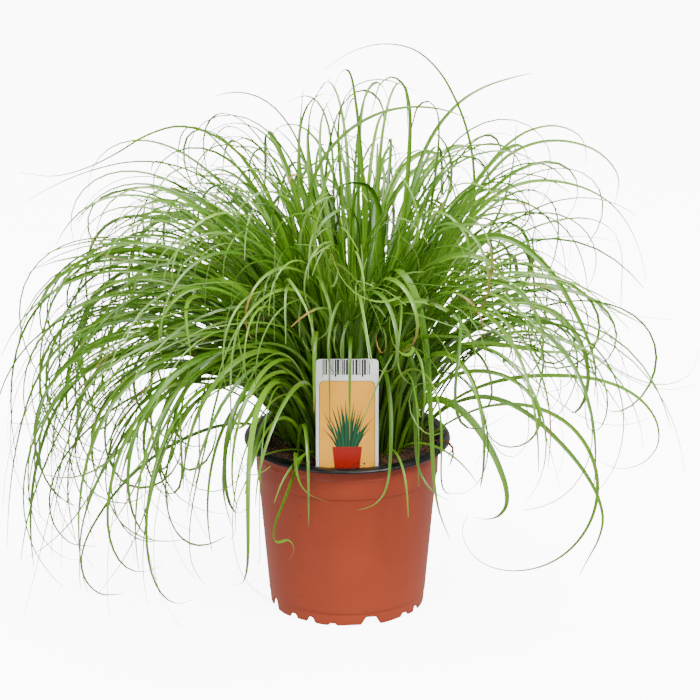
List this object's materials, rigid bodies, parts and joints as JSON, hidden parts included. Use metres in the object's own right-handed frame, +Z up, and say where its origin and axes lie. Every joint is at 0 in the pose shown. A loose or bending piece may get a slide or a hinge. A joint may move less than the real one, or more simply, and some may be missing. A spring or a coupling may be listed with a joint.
{
  "type": "potted papyrus plant",
  "caption": "Young leafy papyrus sedge with arching grass-like blades, in a terracotta-coloured plastic nursery pot of soil with a plain plant label.",
  "frame": {"origin": "middle of the pot's underside, on the flat pad that the pot stands on", "axes": "+Z up, label faces -Y, +X to the right when the label is read"},
  "size_m": [0.4081, 0.3542, 0.3338],
  "materials": {
    "pot": "satin thermoformed two-layer plastic, terracotta outside and black inside",
    "soil": "dark brown fibrous potting peat",
    "label": "white plastic sheet, printed",
    "root": "dry brown root",
    "shoot": "glossy green leaf sheaths and fine leaves",
    "leaf": "glossy fresh green leaf with a paler midrib"
  },
  "bodies": {
    "root": {"pot": "pot", "soil": "soil", "label": "label", "root_strand": "root", "shoot_01": "shoot", "shoot_02": "shoot", "shoot_03": "shoot", "shoot_04": "shoot", "shoot_05": "shoot", "shoot_06": "shoot", "shoot_07": "shoot", "shoot_08": "shoot", "shoot_09": "shoot", "shoot_10": "shoot", "shoot_11": "shoot", "shoot_12": "shoot", "shoot_13": "shoot", "shoot_14": "shoot", "leaf_01": "leaf", "leaf_02": "leaf", "leaf_03": "leaf", "leaf_04": "leaf", "leaf_05": "leaf", "leaf_06": "leaf", "leaf_07": "leaf", "leaf_08": "leaf", "leaf_09": "leaf", "leaf_10": "leaf", "leaf_11": "leaf", "leaf_12": "leaf", "leaf_13": "leaf", "leaf_14": "leaf", "leaf_15": "leaf", "leaf_16": "leaf", "leaf_17": "leaf", "leaf_18": "leaf", "leaf_19": "leaf", "leaf_20": "leaf", "leaf_21": "leaf", "leaf_22": "leaf", "leaf_23": "leaf", "leaf_24": "leaf", "leaf_25": "leaf", "leaf_26": "leaf", "leaf_27": "leaf", "leaf_28": "leaf", "leaf_29": "leaf", "leaf_30": "leaf", "leaf_31": "leaf", "leaf_32": "leaf", "leaf_33": "leaf", "leaf_34": "leaf", "leaf_35": "leaf", "leaf_36": "leaf", "leaf_37": "leaf", "leaf_38": "leaf"}
  },
  "joints": []
}
